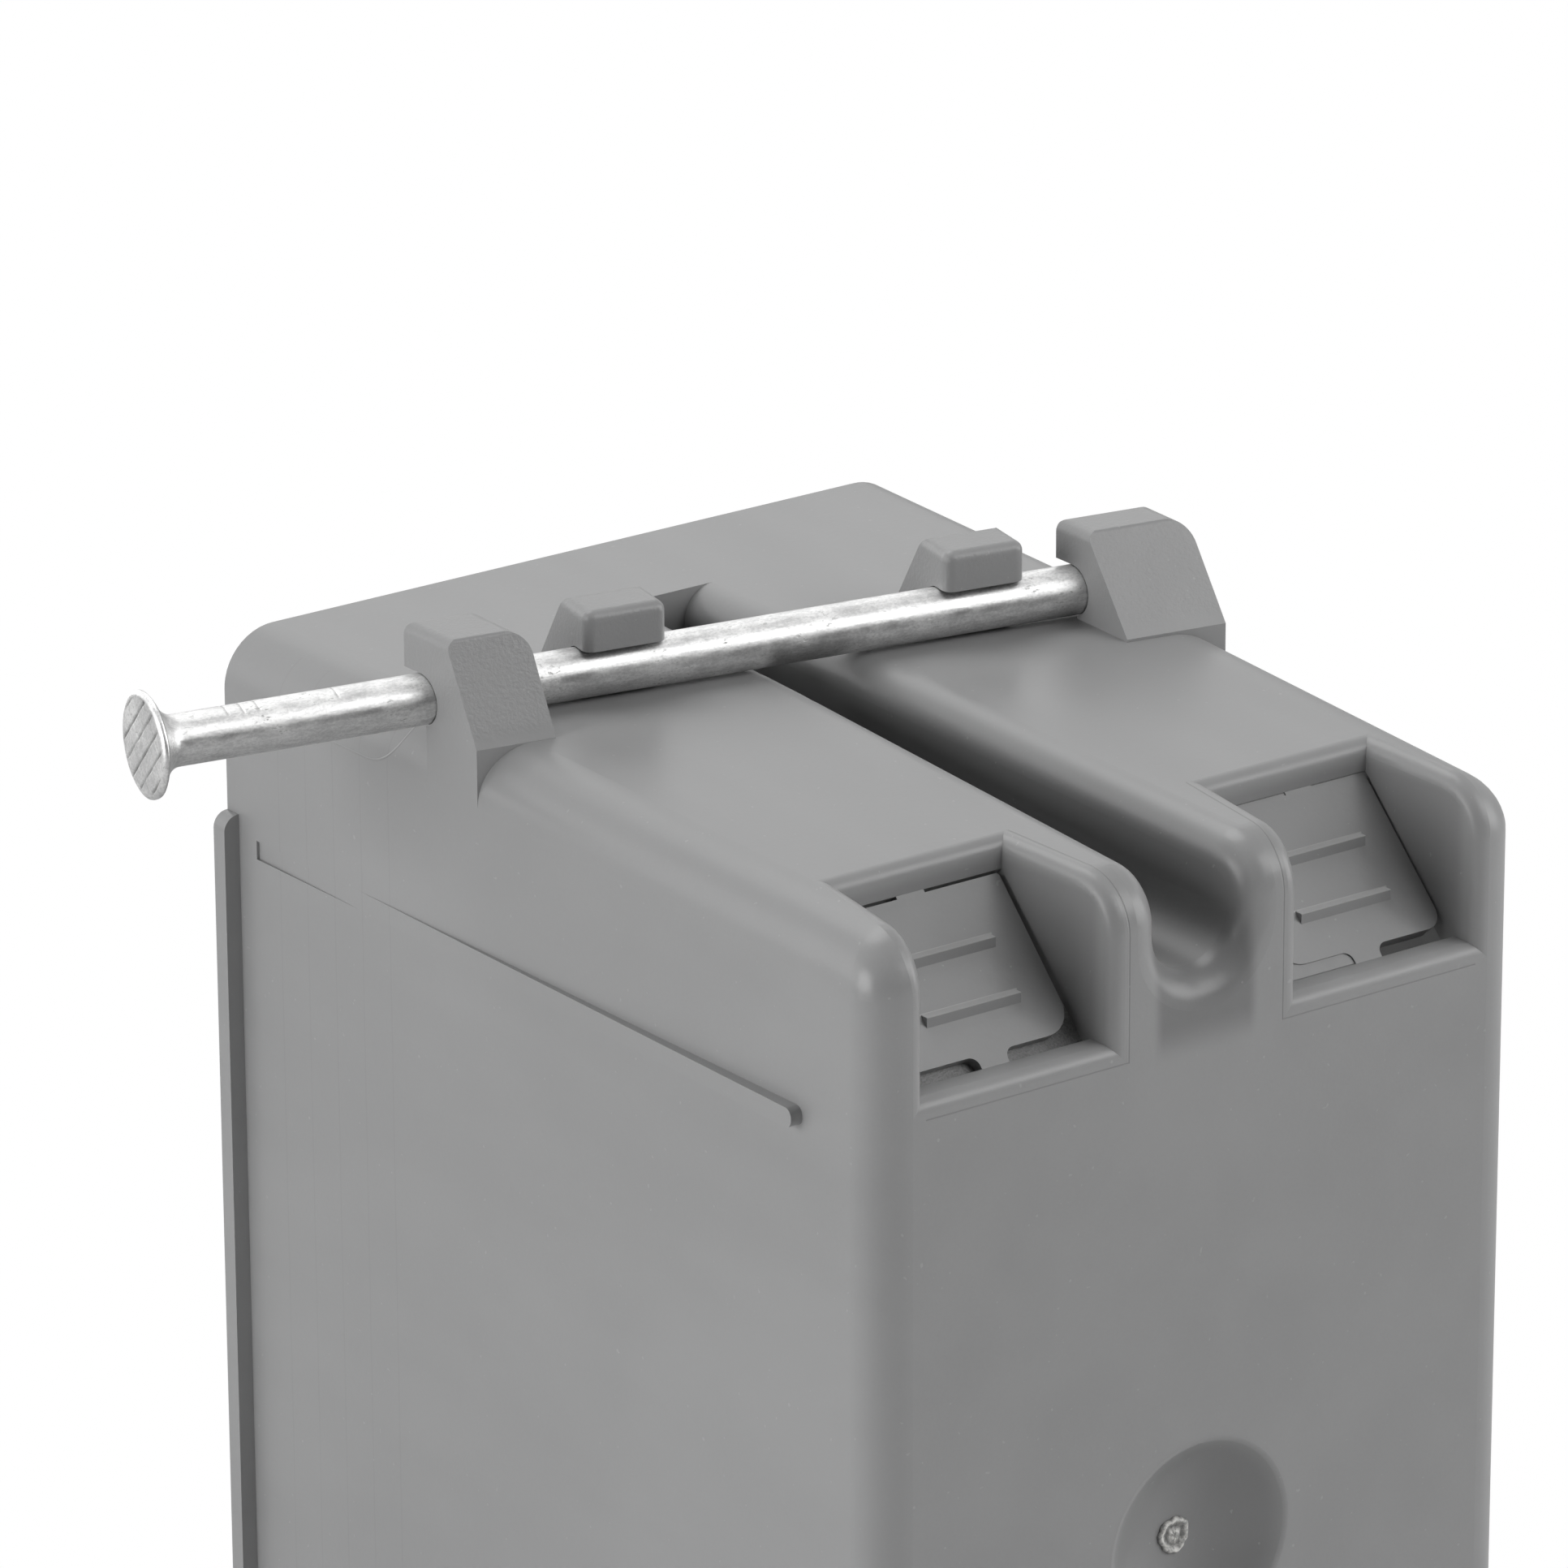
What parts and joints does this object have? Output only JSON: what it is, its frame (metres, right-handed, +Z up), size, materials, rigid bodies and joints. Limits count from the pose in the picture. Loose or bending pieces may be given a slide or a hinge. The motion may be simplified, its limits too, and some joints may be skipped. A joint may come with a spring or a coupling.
{
  "type": "new work outlet box",
  "caption": "Moulded one-gang box for new walls, with captive skewed nails, corner cable entries with break-out flaps and device screw bosses.",
  "frame": {"origin": "midway between the two device screw holes, in the plane of the front rim", "axes": "+X across the box towards the nail heads, away from the stud; +Y from the open front to the back wall; +Z up, along the box's height"},
  "size_m": [0.0777, 0.0716, 0.1086],
  "materials": {
    "grey_plastic": "fine matt moulded surface with soft edges",
    "galvanised_steel": "bright mottled zinc coating"
  },
  "bodies": {
    "box": {"box_body": "grey_plastic"},
    "upper_nail": {"nail_upper": "galvanised_steel"},
    "lower_nail": {"nail_lower": "galvanised_steel"}
  },
  "joints": [
    {"name": "upper_nail_drive", "type": "slide", "parent": "box", "child": "upper_nail", "axis": [-0.9848, 0.1736, 0], "range_m": [0, 0.0168]},
    {"name": "lower_nail_drive", "type": "slide", "parent": "box", "child": "lower_nail", "axis": [-0.9848, 0.1736, 0], "range_m": [0, 0.0168]}
  ]
}
